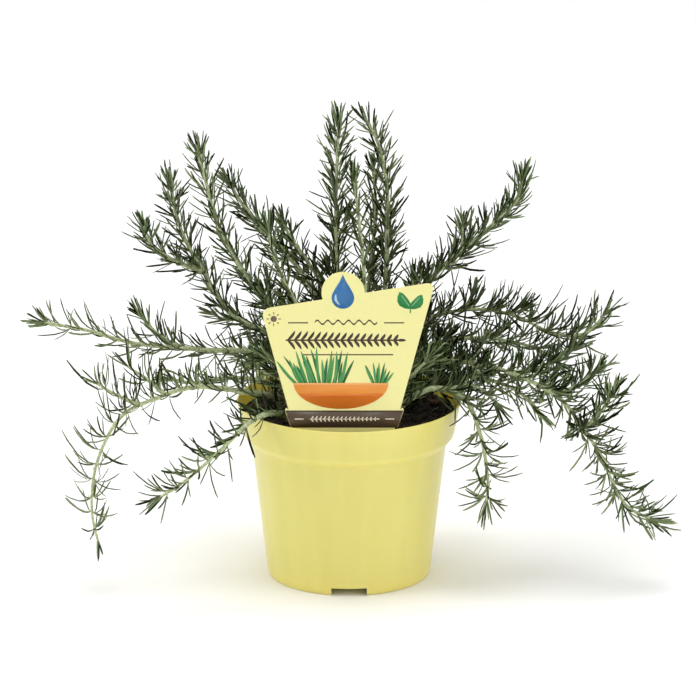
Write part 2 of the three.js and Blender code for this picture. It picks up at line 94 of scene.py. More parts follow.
# Each shoot has a name, the way it grows, its leafless length, its line from the foot in the compost to the
# stem's tip, and the lines of its forks. A foot without a height is put below the compost's top.
SHOOTS = [
    ("left_level", {**LEVEL, "tuft": 2, "twigs": 0}, 0.016,
     [(-.019, .004), (-.028, .004, .113), (-.048, .005, .130), (-.086, .008, .132), (-.126, .012, .135),
      (-.151, .013, .142), (-.177, .013, .147)],
     [[(-.098, .009, .132), (-.111, .016, .139), (-.120, .020, .148)]]),
    ("left_arch", TRAILING, 0.022,
     [(-.025, -.008), (-.037, -.013, .108), (-.060, -.020, .115), (-.089, -.027, .120), (-.110, -.032, .115),
      (-.129, -.034, .106), (-.140, -.035, .090), (-.147, -.035, .068), (-.148, -.035, .045),
      (-.145, -.035, .030)],
     [[(-.106, -.031, .117), (-.116, -.028, .125), (-.127, -.026, .132)],
      [(-.121, -.033, .111), (-.132, -.038, .118), (-.144, -.041, .126)]]),
    ("left_front", OVER_RIM, 0.018,
     [(-.028, -.018), (-.037, -.030, .104), (-.048, -.043, .1085), (-.058, -.054, .106), (-.072, -.068, .096),
      (-.086, -.079, .086), (-.098, -.088, .079), (-.107, -.093, .075)],
     []),
    ("left_low", {**TANGLED, "leaf": 0.0170, "tuft": 1, "twigs": 1}, 0.014,
     [(-.026, .001), (-.036, .000, .108), (-.052, -.001, .116), (-.072, -.003, .118), (-.090, -.006, .116),
      (-.103, -.008, .119)],
     []),
    ("upper_left", DENSE, 0.016,
     [(-.013, .010), (-.022, .015, .118), (-.045, .022, .137), (-.062, .022, .145), (-.071, .022, .152),
      (-.078, .022, .163), (-.084, .021, .175), (-.092, .020, .189), (-.099, .019, .207),
      (-.103, .018, .229)],
     [[(-.084, .021, .175), (-.095, .015, .181), (-.106, .010, .188), (-.114, .007, .196),
       (-.118, .005, .205)]]),
    ("upper_left_tall", DENSE, 0.016,
     [(-.011, -.004), (-.022, -.005, .125), (-.040, -.005, .153), (-.053, -.005, .171), (-.065, -.005, .190),
      (-.076, -.005, .214), (-.083, -.005, .241), (-.086, -.005, .254)],
     []),
    ("upper_left_back", DENSE, 0.016,
     [(-.007, .018), (-.010, .027, .128), (-.021, .034, .160), (-.035, .036, .180), (-.050, .038, .197),
      (-.063, .041, .212), (-.069, .043, .222)],
     []),
    ("crown_left", {**DENSE, "leaf": 0.0155, "tuft": 3, "bud": 9}, 0.016,
     [(-.007, .005), (-.009, .012, .135), (-.016, .015, .169), (-.026, .015, .186), (-.034, .015, .198),
      (-.038, .015, .206)],
     []),
    ("crown_front_left", {**DENSE, "tuft": 3}, 0.016,
     [(-.006, -.013), (-.015, -.019, .130), (-.027, -.021, .162), (-.038, -.021, .183), (-.044, -.021, .202),
      (-.046, -.021, .212)],
     []),
    ("centre_tall", {**DENSE, "leaf": 0.0205, "tuft": 5, "bud": 14}, 0.016,
     [(.000, .000), (-.005, .001, .135), (-.007, .000, .174), (-.0075, .000, .225), (-.006, .000, .268)],
     []),
    ("centre_front", {**DENSE, "tuft": 1, "twigs": 1}, 0.016,
     [(.003, -.009), (.008, -.014, .135), (.009, -.014, .177), (.006, -.014, .213), (.003, -.014, .240)],
     []),
    ("centre_right_tall", DENSE, 0.016,
     [(.008, .005), (.017, .012, .135), (.021, .015, .172), (.022, .015, .200), (.022, .015, .226),
      (.019, .015, .245), (.015, .015, .258), (.010, .015, .267)],
     []),
    ("centre_right_back", {**DENSE, "leaf": 0.0165, "tuft": 3}, 0.016,
     [(.005, .014), (.009, .028, .130), (.012, .038, .168), (.015, .038, .200), (.015, .038, .220),
      (.014, .038, .233)],
     []),
    ("upper_right", {**DENSE, "leaf": 0.0195, "lift": 0.75, "tuft": 6, "twigs": 6}, 0.016,
     [(.012, -.003), (.024, .000, .130), (.040, .004, .166), (.057, .007, .185), (.073, .010, .198),
      (.090, .013, .213), (.097, .014, .221), (.100, .015, .232)],
     []),
    ("right_level", {**TANGLED, "leaf": 0.0210, "lift": 1.15, "foot": 0.0013, "brown": 0.5, "tuft": 5}, 0.016,
     [(.015, .010), (.025, .018, .118), (.047, .029, .144), (.076, .030, .150), (.099, .034, .144),
      (.116, .036, .135), (.133, .036, .132), (.143, .036, .138), (.149, .036, .145)],
     []),
    ("right_arch", {**TANGLED, "spread": 58, "tuft": 5, "bud": 13}, 0.016,
     [(.019, -.007), (.032, -.007, .115), (.053, -.008, .129), (.076, -.012, .129), (.099, -.017, .123),
      (.122, -.022, .111), (.135, -.025, .094), (.145, -.027, .079), (.152, -.028, .063), (.161, -.028, .048),
      (.1755, -.028, .040)],
     [[(.093, -.016, .125), (.106, -.008, .125), (.117, -.002, .127), (.130, .002, .134)],
      [(.112, -.020, .117), (.125, -.016, .115), (.134, -.012, .118), (.141, -.010, .124)],
      [(.135, -.025, .094), (.141, -.032, .103), (.147, -.036, .112), (.150, -.038, .119)]]),
    ("right_middle", TANGLED, 0.014,
     [(.018, .002), (.030, .006, .118), (.047, .010, .134), (.076, .012, .138), (.090, .014, .136),
      (.105, .015, .132), (.115, .016, .127), (.122, .017, .120)],
     []),
    ("right_low", TANGLED, 0.014,
     [(.025, .000), (.036, .003, .106), (.050, .005, .114), (.065, .005, .117), (.082, .003, .115),
      (.096, .001, .110), (.105, .000, .103), (.110, .000, .097)],
     []),
    ("right_front", {**OVER_RIM, "pitch": 0.0064, "tuft": 4, "spread": 66, "lift": 1.1}, 0.016,
     [(.020, -.016), (.033, -.020, .109), (.050, -.022, .118), (.065, -.025, .114), (.071, -.029, .106),
      (.074, -.033, .098), (.077, -.037, .088), (.079, -.040, .075), (.080, -.041, .065),
      (.079, -.042, .056)],
     [[(.058, -.023, .117), (.070, -.024, .120), (.079, -.026, .116), (.084, -.028, .111)]]),
    ("inner_left", DENSE, 0.014,
     [(-.015, -.015), (-.022, -.025, .110), (-.034, -.033, .128), (-.047, -.037, .142)], []),
    ("inner_right", DENSE, 0.014,
     [(.010, -.018), (.020, -.027, .110), (.033, -.034, .127), (.046, -.038, .140)], []),
    ("rear_trailing", LEVEL, 0.016,
     [(-.001, .024), (-.005, .042, .117), (-.009, .062, .128), (-.011, .082, .118), (-.012, .092, .100),
      (-.012, .093, .084)],
     []),
    ("rear_left", LEVEL, 0.016,
     [(-.014, .020), (-.024, .040, .120), (-.034, .060, .134), (-.042, .076, .137), (-.047, .087, .133)], []),
    ("rear_right", LEVEL, 0.016,
     [(.012, .020), (.023, .040, .119), (.033, .060, .131), (.042, .078, .132), (.047, .088, .126)], []),
    ("rear_low_left", LEVEL, 0.016,
     [(-.022, .013), (-.033, .034, .109), (-.045, .052, .116), (-.051, .066, .110), (-.054, .076, .097),
      (-.055, .081, .080)],
     []),
    ("rear_low_right", LEVEL, 0.016,
     [(.023, .010), (.034, .032, .109), (.045, .051, .115), (.051, .066, .108), (.054, .076, .094),
      (.055, .080, .076)],
     []),
]


# ---- colours and materials ----
# How fine each pattern is, in cells per metre of the real surface.
UPRIGHT_STREAKS = 90  # faint upright streaks of lighter and darker colour, 11 mm from streak to streak round the pot
STREAK_DRAW = 0.06  # draws the streaks out to 185 mm upright, longer than the pot is high
MOULD_GRAIN = 1400  # 0.7 mm, coarser than a mould's grain, which wouldn't show
COMPOST_GRAINS = 420  # 2.4 mm
BARK_RIDGES = 900  # 1.1 mm
STEM_RIDGES = 750  # 1.3 mm, coarser than the down on a stem, which wouldn't show
CARD_MOTTLE = 500  # 2 mm


def srgb(code):
    """A linear RGBA colour from an sRGB hex code."""
    parts = [int(code[i:i + 2], 16) / 255 for i in (1, 3, 5)]
    return (*[c / 12.92 if c <= 0.04045 else ((c + 0.055) / 1.055) ** 2.4 for c in parts], 1.0)


def add_node(tree, kind, values=None, settings=None):
    """A node with its settings; a value that is a socket is linked, any other is set on the input."""
    node = tree.nodes.new(kind)
    for name, value in (settings or {}).items():
        setattr(node, name, value)
    for name, value in (values or {}).items():
        if isinstance(value, bpy.types.NodeSocket):
            tree.links.new(value, node.inputs[name])
        else:
            node.inputs[name].default_value = value
    return node


def new_material(name, roughness, **surface):
    """A material with the given constants on its Principled shader, with its tree and that shader."""
    material = bpy.data.materials.new(name)
    material.use_nodes = True
    tree = material.node_tree
    shader = tree.nodes["Principled BSDF"]
    shader.inputs["Roughness"].default_value = roughness
    for socket, value in surface.items():
        shader.inputs[socket.replace("_", " ")].default_value = value
    return material, tree, shader


def ramp(tree, fac, stops):
    """A colour ramp with the given (position, hex colour) stops."""
    node = add_node(tree, "ShaderNodeValToRGB", {"Fac": fac})
    elements = node.color_ramp.elements
    while len(elements) < len(stops):
        elements.new(0.5)
    for element, (position, code) in zip(elements, stops):
        element.position = position
        element.color = srgb(code)
    return node.outputs["Color"]


def look_channels(tree):
    """The three channels of the look attribute."""
    look = add_node(tree, "ShaderNodeAttribute", settings={"attribute_name": "look"})
    split = add_node(tree, "ShaderNodeSeparateColor", {"Color": look.outputs["Color"]})
    return [split.outputs[name] for name in ("Red", "Green", "Blue")]


def mix(tree, factor, first, second):
    values = {"Factor": factor, "A": first, "B": second}
    return add_node(tree, "ShaderNodeMix", values, {"data_type": "RGBA"}).outputs["Result"]


def object_place(tree):
    return add_node(tree, "ShaderNodeTexCoord").outputs["Object"]


def noise(tree, place, per_metre, detail, distortion=0.0):
    values = {"Vector": place, "Scale": per_metre, "Detail": detail, "Distortion": distortion}
    return add_node(tree, "ShaderNodeTexNoise", values).outputs["Fac"]


def map_range(tree, value, **ends):
    """A value carried from one range to another, such as To_Min=0.6."""
    values = {name.replace("_", " "): end for name, end in ends.items()}
    return add_node(tree, "ShaderNodeMapRange", {"Value": value, **values}).outputs["Result"]


def roughen(tree, shader, height, strength, distance):
    """Bump all over a surface; distance is its height in metres."""
    bump = add_node(tree, "ShaderNodeBump", {"Height": height, "Strength": strength, "Distance": distance})
    tree.links.new(bump.outputs["Normal"], shader.inputs["Normal"])


def moulded_polypropylene():
    """Injection-moulded polypropylene: pale yellow with a satin gloss and faint upright streaks of lighter
    and darker colour.
    """
    material, tree, shader = new_material("moulded_polypropylene_pale_yellow", 0.32, IOR=1.49,
                                          Subsurface_Weight=0.5, Subsurface_Scale=0.004,
                                          Subsurface_Radius=(1.0, 0.85, 0.35))
    place = object_place(tree)
    stretch = add_node(tree, "ShaderNodeMapping", {"Vector": place, "Scale": (1, 1, STREAK_DRAW)})
    streaks = noise(tree, stretch.outputs["Vector"], UPRIGHT_STREAKS, 2)
    # the base colour goes a little lighter and darker in faint upright streaks round the pot
    colour = ramp(tree, streaks, [(0.3, "#eadb7a"), (0.7, "#eddf82")])
    tree.links.new(colour, shader.inputs["Base Color"])
    roughen(tree, shader, noise(tree, place, MOULD_GRAIN, 2), 0.05, 0.0002)
    return material


def moist_compost():
    """Moist peat and bark compost: nearly black brown, matt, with paler fibres and grains."""
    material, tree, shader = new_material("moist_peat_and_bark_compost", 0.92)
    grains = noise(tree, object_place(tree), COMPOST_GRAINS, 6)
    colour = ramp(tree, grains, [(0.35, "#15100b"), (0.55, "#2a1f16"), (0.72, "#54402c")])
    tree.links.new(colour, shader.inputs["Base Color"])
    roughen(tree, shader, grains, 0.8, 0.0008)
    return material


def pine_bark():
    """Composted pine bark: reddish brown, unevenly ridged, dull."""
    material, tree, shader = new_material("composted_pine_bark", 0.8)
    ridges = noise(tree, object_place(tree), BARK_RIDGES, 5, distortion=0.6)
    colour = ramp(tree, ridges, [(0.3, "#3a2415"), (0.55, "#6b4527"), (0.75, "#94683f")])
    tree.links.new(colour, shader.inputs["Base Color"])
    roughen(tree, shader, ridges, 0.7, 0.0004)
    return material


def rosemary_needle():
    """Leathery rosemary leaf: dark grey-green and slightly glossy above, pale and felted below."""
    material, tree, shader = new_material("rosemary_needle", 0.44, IOR=1.45, Specular_IOR_Level=0.04)
    upper, tint, along = look_channels(tree)
    above = ramp(tree, tint, [(0.0, "#050b01"), (0.45, "#101d06"), (0.8, "#344d1e"), (1.0, "#627c40")])
    below = ramp(tree, tint, [(0.0, "#5c7042"), (1.0, "#aab98a")])
    paleness = map_range(tree, along, From_Min=0.0, From_Max=0.42, To_Min=0.7, To_Max=0.0)
    colour = mix(tree, paleness, mix(tree, upper, below, above), srgb("#adbb8d"))
    tree.links.new(colour, shader.inputs["Base Color"])
    return material


def rosemary_stem():
    """Young rosemary wood: pale green and downy at the tip, brown and ridged towards the soil."""
    material, tree, shader = new_material("rosemary_stem", 0.75, Specular_IOR_Level=0.3)
    brown = look_channels(tree)[0]
    stops = [(0.0, "#c6d2a2"), (0.35, "#b6c190"), (0.65, "#8d7456"), (1.0, "#5e4230")]
    colour = ramp(tree, brown, stops)
    ridges = noise(tree, object_place(tree), STEM_RIDGES, 3)
    shade = map_range(tree, ridges, From_Min=0.35, From_Max=0.65, To_Min=0.6, To_Max=1.15)
    mottled = add_node(tree, "ShaderNodeHueSaturation", {"Value": shade, "Color": colour})
    tree.links.new(mottled.outputs["Color"], shader.inputs["Base Color"])
    roughen(tree, shader, ridges, 0.6, 0.0004)
    return material


def printed_card(name, code):
    """Printed polypropylene card: flat colour under a smooth satin varnish, with a faint press mottle."""
    material, tree, shader = new_material(name, 0.34, IOR=1.49)
    mottle = noise(tree, object_place(tree), CARD_MOTTLE, 2)
    tone = map_range(tree, mottle, To_Min=0.97, To_Max=1.03)
    colour = add_node(tree, "ShaderNodeHueSaturation", {"Value": tone, "Color": srgb(code)})
    tree.links.new(colour.outputs["Color"], shader.inputs["Base Color"])
    return material


# ---- mesh tools ----
def deselect_all():
    if bpy.context.object and bpy.context.object.mode != "OBJECT":
        bpy.ops.object.mode_set(mode="OBJECT")
    bpy.ops.object.select_all(action="DESELECT")


def select_only(piece):
    deselect_all()
    piece.select_set(True)
    bpy.context.view_layer.objects.active = piece


def finish_piece(piece, name, material, slot, *replaced):
    piece.name = name
    piece.data.name = name
    piece.data.materials.clear()
    piece.data.materials.append(material)
    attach(piece, "root")
    if replaced:
        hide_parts(*replaced)
    return piece


def turned_piece(outline, segments):
    """A closed body turned about the pot's axis: a disc is extruded and resized from point to point."""
    deselect_all()
    radius, height = outline[0]
    bpy.ops.mesh.primitive_circle_add(vertices=segments, radius=radius, location=(0, 0, height),
                                      fill_type="NGON")
    piece = bpy.context.object
    bpy.ops.object.transform_apply(location=True, rotation=True, scale=True)
    bpy.ops.object.mode_set(mode="EDIT")
    bpy.ops.mesh.select_all(action="SELECT")
    for (near, low), (far, high) in zip(outline, outline[1:]):
        bpy.ops.mesh.extrude_region_move(TRANSFORM_OT_translate={"value": (0, 0, high - low)})
        bpy.ops.transform.resize(value=(far / near, far / near, 1))
    bpy.ops.mesh.select_all(action="SELECT")
    bpy.ops.mesh.normals_make_consistent(inside=False)
    bpy.ops.object.mode_set(mode="OBJECT")
    return piece


def rounded(outline, size, steps=4):
    """The outline with each inner corner cut to an arc that starts size before it."""
    points = [Vector(p) for p in outline]
    made = [points[0]]
    for before, corner, after in zip(points, points[1:], points[2:]):
        reach = min(size, (corner - before).length / 2.2, (after - corner).length / 2.2)
        start = corner + (before - corner).normalized() * reach
        end = corner + (after - corner).normalized() * reach
        for i in range(steps + 1):
            t = i / steps
            made.append(start * (1 - t) ** 2 + corner * 2 * t * (1 - t) + end * t ** 2)
    made.append(points[-1])
    return [(p.x, p.y) for p in made]


def apply_modifier(piece, kind, **settings):
    select_only(piece)
    modifier = piece.modifiers.new(kind, kind)
    for name, value in settings.items():
        setattr(modifier, name, value)
    bpy.ops.object.modifier_apply(modifier=modifier.name)


def smooth(piece, degrees):
    select_only(piece)
    bpy.ops.object.shade_smooth_by_angle(angle=math.radians(degrees))


def remove(piece):
    mesh = piece.data
    bpy.data.objects.remove(piece)
    bpy.data.meshes.remove(mesh)


def mesh_piece(vertices, corners, starts):
    """A piece from its vertices, the vertex numbers of all face corners, and where each face starts."""
    mesh = bpy.data.meshes.new("piece")
    mesh.vertices.add(len(vertices))
    mesh.vertices.foreach_set("co", np.asarray(vertices, np.float32).ravel())
    mesh.loops.add(len(corners))
    mesh.loops.foreach_set("vertex_index", np.asarray(corners, np.int32))
    mesh.polygons.add(len(starts))
    mesh.polygons.foreach_set("loop_start", np.asarray(starts, np.int32))
    mesh.update(calc_edges=True)
    mesh.validate()
    piece = bpy.data.objects.new("piece", mesh)
    bpy.context.collection.objects.link(piece)
    return piece


def flat_faces(faces):
    """The corners of all faces in one row, and where each face starts in it."""
    sizes = [len(face) for face in faces]
    return np.concatenate([np.array(face) for face in faces]), np.cumsum([0, *sizes[:-1]])


def repeated_faces(faces, vertex_count, copies):
    """The corners and starts of a number of copies of the same faces."""
    corners, starts = flat_faces(faces)
    numbers = np.arange(copies)[:, None]
    return (corners + numbers * vertex_count).ravel(), (starts + numbers * len(corners)).ravel()


# ---- pot ----
POT_WALL = 0.0011
BAND_FOOT = (0.061, 0.0848)
WALL_HEAD = (0.0566, 0.0802)
FOOT_RADIUS = 0.0466
FOOT_INNER = 0.0448
FLOOR_Z = (0.0052, 0.0065)
NOTCH = {"count": 3, "width": 0.0205, "height": 0.0047, "reach": 0.014, "circle": 0.044}
DRAIN = {"count": 6, "radius": 0.0036, "circle": 0.029}
# The pot's outside, for keeping leaves out of it.
OUTSIDE_HEIGHTS = [0.0, WALL_HEAD[1], BAND_FOOT[1], RIM_Z]
OUTSIDE_RADII = [0.048, WALL_HEAD[0], BAND_FOOT[0], RIM_RADIUS]


def nursery_pot():
    rim_inner = RIM_RADIUS - POT_WALL
    outline = [
        (0.0440, FLOOR_Z[0]), (FOOT_INNER + 0.0004, FLOOR_Z[0]), (FOOT_INNER, 0.0), (FOOT_RADIUS, 0.0),
        (0.0475, 0.0026), WALL_HEAD, (BAND_FOOT[0] - 0.0016, BAND_FOOT[1] - 0.0022), BAND_FOOT,
        (RIM_RADIUS, RIM_Z), (rim_inner, RIM_Z),
        (BAND_FOOT[0] - POT_WALL, BAND_FOOT[1] + 0.0012), (WALL_HEAD[0] - POT_WALL, WALL_HEAD[1] + 0.0006),
        (0.0469, FLOOR_Z[1] + 0.0016), (0.0450, FLOOR_Z[1]), (0.0440, FLOOR_Z[1]),
    ]
    pot = turned_piece(rounded(outline, 0.0011), 144)
    deselect_all()
    cutters = []
    for turn in range(NOTCH["count"]):
        angle = math.radians(-90 + 360 * turn / NOTCH["count"])
        spot = (math.cos(angle) * NOTCH["circle"], math.sin(angle) * NOTCH["circle"], 0.0)
        bpy.ops.mesh.primitive_cube_add(size=1, location=spot)
        cutter = bpy.context.object
        cutter.scale = (NOTCH["reach"], NOTCH["width"], 2 * NOTCH["height"])
        cutter.rotation_euler = (0, 0, angle)
        cutters.append(cutter)
    spots = [(0.0, 0.0)]
    for turn in range(DRAIN["count"]):
        angle = 2 * math.pi * turn / DRAIN["count"]
        spots.append((math.cos(angle) * DRAIN["circle"], math.sin(angle) * DRAIN["circle"]))
    for x, y in spots:
        bpy.ops.mesh.primitive_cylinder_add(vertices=32, radius=DRAIN["radius"], depth=0.006,
                                            location=(x, y, sum(FLOOR_Z) / 2))
        cutters.append(bpy.context.object)
    for cutter in cutters:
        apply_modifier(pot, "BOOLEAN", object=cutter, operation="DIFFERENCE", solver="EXACT")
        remove(cutter)
    smooth(pot, 35)
    return finish_piece(pot, "nursery_pot", moulded_polypropylene(), "pot", "pot")


# ---- compost ----
SOIL_MOUND = 0.0016  # how much lower the compost lies at the rim than at the crown


def compost_top(radius):
    return SOIL_TOP - SOIL_MOUND * min(radius / RIM_RADIUS, 1.0)


def potting_compost(material):
    rings = [(0.0005 + (SOIL_RADIUS - 0.0025) * i / 40) for i in range(41)]
    outline = [
        (0.045, FLOOR_Z[1] + 0.0004), (0.0465, FLOOR_Z[1] + 0.003), (WALL_HEAD[0] - 0.0016, WALL_HEAD[1]),
        (SOIL_RADIUS - 0.0015, 0.0862), (SOIL_RADIUS - 0.0003, compost_top(RIM_RADIUS)),
    ]
    outline += [(radius, compost_top(radius)) for radius in reversed(rings)]
    plug = turned_piece(outline, 160)
    crumbs = bpy.data.textures.new("crumbs", "CLOUDS")
    crumbs.noise_scale = 0.004
    crumbs.noise_depth = 4
    group = plug.vertex_groups.new(name="top")
    top = [v.index for v in plug.data.vertices if v.co.z > 0.095 and v.co.xy.length < SOIL_RADIUS - 0.002]
    group.add(top, 1.0, "REPLACE")
    apply_modifier(plug, "DISPLACE", texture=crumbs, texture_coords="LOCAL", direction="Z", strength=0.0032,
                   mid_level=0.55, vertex_group="top")
    smooth(plug, 60)
    return finish_piece(plug, "potting_compost", material, "soil", "potting_soil")


def scattered(prototype, count, place, sizes, seed):
    """Copies of a prototype's mesh, each turned at random, joined as one piece; place(draw) gives a point."""
    draw = random.Random(seed)
    base, faces = taken_apart(prototype)
    vertices = []
    for _ in range(count):
        point = place(draw)
        axis = Vector((draw.gauss(0, 1), draw.gauss(0, 1), draw.gauss(0, 1))).normalized()
        turn = np.array(axis.to_track_quat("Z", "Y").to_matrix())
        size = draw.uniform(*sizes)
        stretch = np.array([draw.uniform(0.6, 1.4), draw.uniform(0.6, 1.4), draw.uniform(0.5, 0.9)]) * size
        vertices.append((base * stretch) @ turn.T + np.array(point))
    return mesh_piece(np.concatenate(vertices), *repeated_faces(faces, len(base), count))


def on_compost(draw):
    radius = (SOIL_RADIUS - 0.002) * math.sqrt(draw.random())
    angle = draw.uniform(0, 2 * math.pi)
    height = compost_top(radius) + draw.uniform(-0.0004, 0.0007)
    return radius * math.cos(angle), radius * math.sin(angle), height


def rough_crumb(seed, subdivisions=2, rough=0.25):
    deselect_all()
    bpy.ops.mesh.primitive_ico_sphere_add(subdivisions=subdivisions, radius=0.5)
    crumb = bpy.context.object
    bpy.ops.object.mode_set(mode="EDIT")
    bpy.ops.mesh.select_all(action="SELECT")
    bpy.ops.transform.vertex_random(offset=rough, seed=seed)
    bpy.ops.object.mode_set(mode="OBJECT")
    return crumb


def compost_crumbs(material):
    crumb = rough_crumb(3, subdivisions=1, rough=0.2)
    pieces = scattered(crumb, 1500, on_compost, (0.0008, 0.0026), seed=11)
    return finish_piece(pieces, "compost_crumbs", material, "soil")


def bark_chips(material):
    for number in range(1, 6):
        low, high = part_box(f"bark_chip_{number}")
        chip = rough_crumb(20 + number, subdivisions=3, rough=0.12)
        size = high - low
        middle = (low + high) / 2
        for vertex in chip.data.vertices:
            vertex.co = Vector(a * b for a, b in zip(vertex.co, size)) + middle
        smooth(chip, 30)
        finish_piece(chip, f"pine_bark_{number}", material, "bark", f"bark_chip_{number}")


# ---- stems and leaves ----
def path_of(points):
    """A smooth line through the points: its places, headings, side vectors and the distance along it."""
    fixed = [Vector(p if len(p) == 3 else (*p, compost_top(math.hypot(*p)) - STEM_DEPTH)) for p in points]
    ends = [fixed[0] * 2 - fixed[1], *fixed, fixed[-1] * 2 - fixed[-2]]
    line = []
    for a, b, c, d in zip(ends, ends[1:], ends[2:], ends[3:]):
        knots = [0.0]
        for near, far in ((a, b), (b, c), (c, d)):
            knots.append(knots[-1] + math.sqrt((far - near).length))
        steps = max(2, int((c - b).length / PATH_STEP))
        for i in range(steps):
            t = knots[1] + (knots[2] - knots[1]) * i / steps
            ab = a.lerp(b, (t - knots[0]) / (knots[1] - knots[0]))
            bc = b.lerp(c, (t - knots[1]) / (knots[2] - knots[1]))
            cd = c.lerp(d, (t - knots[2]) / (knots[3] - knots[2]))
            abc = ab.lerp(bc, (t - knots[0]) / (knots[2] - knots[0]))
            bcd = bc.lerp(cd, (t - knots[1]) / (knots[3] - knots[1]))
            line.append(abc.lerp(bcd, (t - knots[1]) / (knots[2] - knots[1])))
    line.append(fixed[-1])
    places = np.array([p[:] for p in line])
    steps = np.diff(places, axis=0)
    along = np.concatenate([[0.0], np.cumsum(np.linalg.norm(steps, axis=1))])
    headings = np.gradient(places, along, axis=0)
    headings /= np.linalg.norm(headings, axis=1, keepdims=True)
    side = np.cross(headings[0], (0.3, 0.2, 1.0))
    sides = []
    for heading in headings:
        side = side - heading * side.dot(heading)
        side = side / np.linalg.norm(side)
        sides.append(side)
    return {"place": places, "heading": headings, "side": np.array(sides), "along": along,
            "length": along[-1]}


def at(path, key, s):
    """The path's places, headings or sides at the distances s."""
    return np.stack([np.interp(s, path["along"], path[key][:, k]) for k in range(3)], axis=-1)


def frame_at(path, s):
    return [at(path, key, s) for key in ("place", "heading", "side")]


def unit(vectors):
    return vectors / np.linalg.norm(vectors, axis=-1, keepdims=True)


def fork_paths(main, forks):
    """A fork springs from the point of the main stem that is nearest to where its line begins."""
    made = []
    for first, *rest in forks:
        nearest = np.argmin(np.linalg.norm(main["place"] - np.array(first), axis=1))
        made.append(path_of([tuple(main["place"][nearest]), *rest]))
    return made


def stem_rings(path, foot_radius, habit, nodes):
    """A tapered, faintly four-sided stem that swells at each leaf pair and is brown towards its foot."""
    sides = 12
    s = np.linspace(0, path["length"], max(8, int(path["length"] / 0.0012)))
    radius = habit["tip"] + (foot_radius - habit["tip"]) * (1 - s / path["length"]) ** 1.4
    for node in nodes:
        radius = radius * (1 + 0.24 * np.exp(-((s - node) / 0.0009) ** 2))
    place, heading, side = frame_at(path, s)
    other = np.cross(heading, side)
    turn = np.linspace(0, 2 * math.pi, sides, endpoint=False)
    ring = side[:, None] * np.cos(turn)[None, :, None] + other[:, None] * np.sin(turn)[None, :, None]
    squared = 1 + 0.10 * np.cos(4 * turn)
    vertices = (place[:, None] + ring * radius[:, None, None] * squared[None, :, None]).reshape(-1, 3)
    faces = [tuple(range(sides))[::-1]]
    for i in range(len(s) - 1):
        for k in range(sides):
            n = (k + 1) % sides
            faces.append((i * sides + k, i * sides + n, (i + 1) * sides + n, (i + 1) * sides + k))
    faces.append(tuple(range((len(s) - 1) * sides, len(s) * sides)))
    brown = np.clip(1 - s / path["length"] / max(habit["brown"] * 1.6, 0.05), 0, 1)
    look = np.stack([brown, brown * 0, s / path["length"], brown * 0 + 1], axis=1)
    return vertices, *flat_faces(faces), np.repeat(look, sides, axis=0)


def joined_mesh(chunks):
    """One piece from (vertices, corners, starts, look) chunks, with look kept as a colour attribute."""
    vertices, corners, starts, looks = [], [], [], []
    vertex_count = corner_count = 0
    for points, chunk_corners, chunk_starts, look in chunks:
        vertices.append(points)
        corners.append(chunk_corners + vertex_count)
        starts.append(chunk_starts + corner_count)
        looks.append(look)
        vertex_count += len(points)
        corner_count += len(chunk_corners)
    piece = mesh_piece(np.concatenate(vertices), np.concatenate(corners), np.concatenate(starts))
    attribute = piece.data.attributes.new("look", "FLOAT_COLOR", "POINT")
    attribute.data.foreach_set("color", np.concatenate(looks).astype(np.float32).ravel())
    piece.data.shade_smooth()
    return piece


LEAF_STATIONS = [(0.0, 0.55), (0.24, 0.92), (0.54, 1.0), (0.84, 0.95), (1.0, 0.5)]
# The section of a needle, as (across, up) for the five corners of a rod: domed above, edges rolled under.
LEAF_SECTION = [(0.5, 0.06), (0.0, 0.25), (-0.5, 0.06), (-0.31, -0.26), (0.31, -0.26)]


def needle_prototype():
    """One needle of unit length and width along +Z, its upper face towards +Y: a five-sided rod that is
    ringed, narrowed towards both ends and pressed to the rolled section. Ringing it cuts its short edges too,
    and the points that this adds fall together on the five corners, which leaves faces of no area."""
    deselect_all()
    sides = len(LEAF_SECTION)
    bpy.ops.mesh.primitive_cylinder_add(vertices=sides, radius=0.5, depth=1.0, location=(0, 0, 0.5))
    needle = bpy.context.object
    bpy.ops.object.transform_apply(location=True, rotation=True, scale=True)
    bpy.ops.object.mode_set(mode="EDIT")
    bpy.ops.mesh.select_all(action="DESELECT")
    bpy.ops.object.mode_set(mode="OBJECT")
    for edge in needle.data.edges:
        low, high = (needle.data.vertices[i].co.z for i in edge.vertices)
        edge.select = abs(high - low) > 0.5
    bpy.ops.object.mode_set(mode="EDIT")
    bpy.ops.mesh.select_mode(type="EDGE")
    bpy.ops.mesh.subdivide(number_cuts=len(LEAF_STATIONS) - 2)
    bpy.ops.object.mode_set(mode="OBJECT")
    for vertex in needle.data.vertices:
        corner = round(math.atan2(vertex.co.y, vertex.co.x) / (2 * math.pi) * sides) % sides
        share, width = LEAF_STATIONS[round(vertex.co.z * (len(LEAF_STATIONS) - 1))]
        across, up = LEAF_SECTION[corner]
        vertex.co = (across * width, up * width, share)
    return needle


def taken_apart(piece):
    """The points and faces of a piece, which is removed."""
    points = np.array([v.co[:] for v in piece.data.vertices])
    faces = [tuple(p.vertices) for p in piece.data.polygons]
    remove(piece)
    return points, faces


def leaf_column(leaves, key):
    return np.array([leaf[key] for leaf in leaves])


def leaf_lines(leaves, t):
    """The points at the shares t of every leaf's bent middle line."""
    head, bend = (leaf_column(leaves, key)[:, None] for key in ("head", "bend"))
    reach = head * t[None, :, None] + bend * (t ** 2 / 2)[None, :, None]
    return leaf_column(leaves, "root")[:, None] + leaf_column(leaves, "length")[:, None, None] * reach


